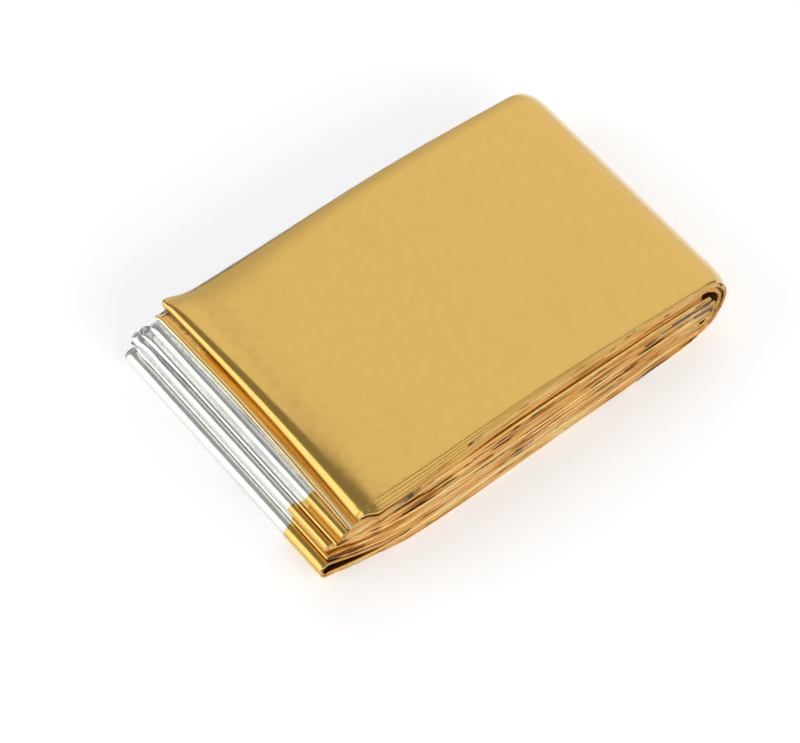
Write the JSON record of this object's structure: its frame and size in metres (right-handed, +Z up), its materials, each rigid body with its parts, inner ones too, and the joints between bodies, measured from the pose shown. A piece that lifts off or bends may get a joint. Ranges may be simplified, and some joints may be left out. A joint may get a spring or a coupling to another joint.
{
  "type": "folded emergency foil blanket",
  "caption": "Emergency blanket of metallised film, gold on one side and silver on the other, folded into a flat packet with a stepped and a round end.",
  "frame": {"origin": "middle of the bounding box, on the flat underside", "axes": "+X along the packet from the stepped end of folds to the round end, +Y from the front long side to the back one, +Z up through the folds"},
  "size_m": [0.129, 0.0822, 0.0239],
  "materials": {
    "gold_foil": "metallised polyester film, shiny, gold outside and silver inside"
  },
  "bodies": {
    "root": {"foil_blanket": "gold_foil"}
  },
  "joints": []
}
